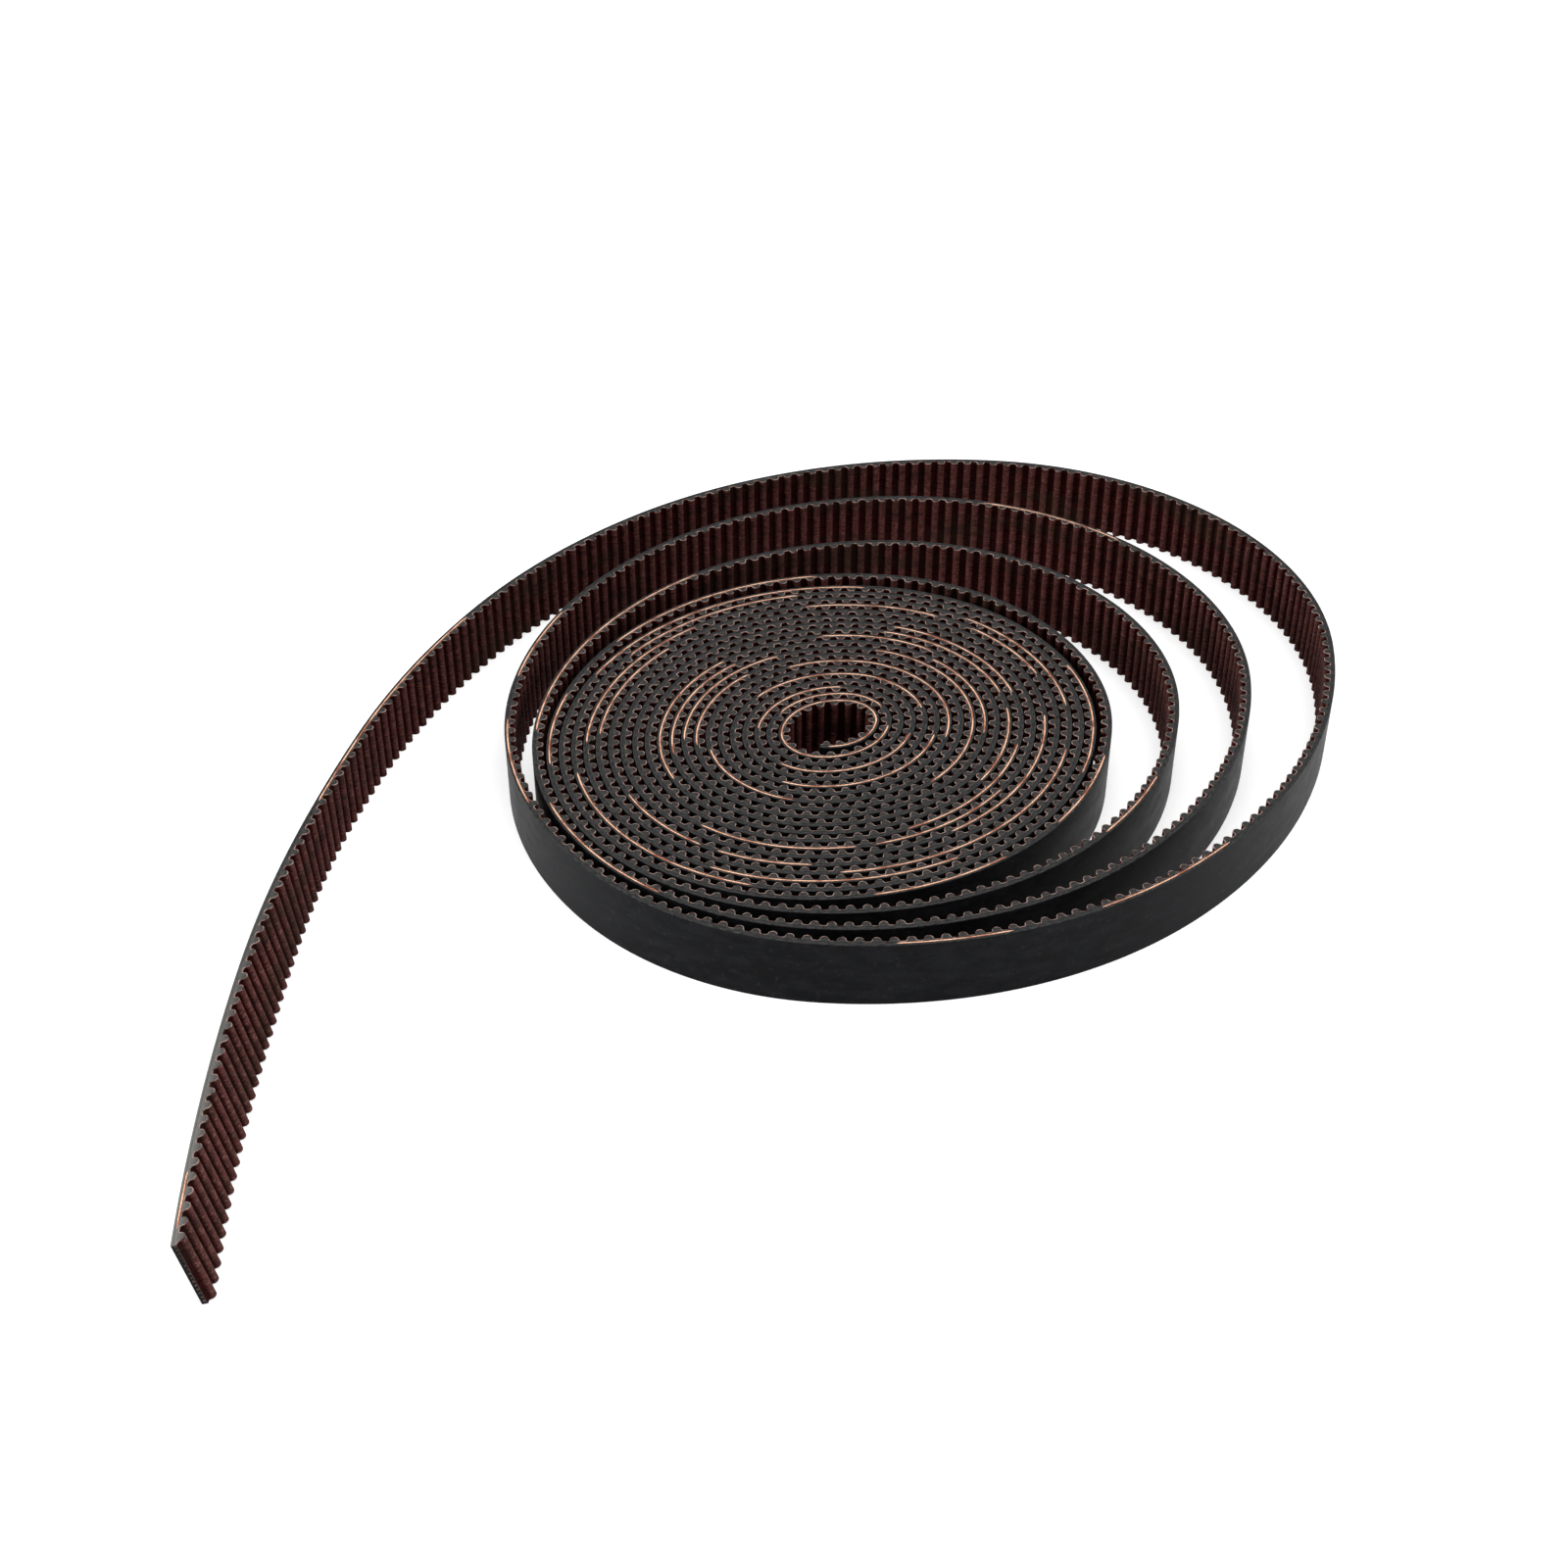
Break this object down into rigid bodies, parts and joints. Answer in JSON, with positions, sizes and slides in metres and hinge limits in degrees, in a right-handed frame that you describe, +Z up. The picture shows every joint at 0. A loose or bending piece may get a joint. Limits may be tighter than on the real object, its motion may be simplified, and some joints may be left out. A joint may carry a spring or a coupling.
{
  "type": "timing belt",
  "caption": "Open-ended rubber timing belt with a 2 mm tooth pitch, wound into a flat coil that stands on its edge with a loose outer turn and a free tail.",
  "frame": {"origin": "middle of the open eye of the coil, on the surface that the belt stands on", "axes": "+Z up along the belt's width; X and Y lie in the plane of the coil, with the free tail on the -X side and its cut end towards -Y"},
  "size_m": [0.1346, 0.1572, 0.009],
  "materials": {
    "backing_rubber": "smooth black polychloroprene back, satin, faint ground marks along the belt",
    "bed_rubber": "cut grey-black rubber edge, matte",
    "tooth_rubber": "cut grey-black rubber edge, matte",
    "nylon_facing": "reddish-brown rubber-soaked nylon weave over the teeth",
    "tensile_cord": "copper-coloured twisted glass-fibre cord with an adhesive dip"
  },
  "bodies": {
    "root": {"backing": "backing_rubber", "cord_bed": "bed_rubber", "tooth_rubber_01": "tooth_rubber", "tooth_rubber_02": "tooth_rubber", "tooth_rubber_03": "tooth_rubber", "tooth_rubber_04": "tooth_rubber", "tooth_rubber_05": "tooth_rubber", "tooth_rubber_06": "tooth_rubber", "tooth_rubber_07": "tooth_rubber", "tooth_rubber_08": "tooth_rubber", "tooth_rubber_09": "tooth_rubber", "tooth_rubber_10": "tooth_rubber", "tooth_rubber_11": "tooth_rubber", "tooth_rubber_12": "tooth_rubber", "tooth_facing_01": "nylon_facing", "tooth_facing_02": "nylon_facing", "tooth_facing_03": "nylon_facing", "tooth_facing_04": "nylon_facing", "tooth_facing_05": "nylon_facing", "tooth_facing_06": "nylon_facing", "tooth_facing_07": "nylon_facing", "tooth_facing_08": "nylon_facing", "tooth_facing_09": "nylon_facing", "tooth_facing_10": "nylon_facing", "tooth_facing_11": "nylon_facing", "tooth_facing_12": "nylon_facing", "edge_cord": "tensile_cord"}
  },
  "joints": []
}
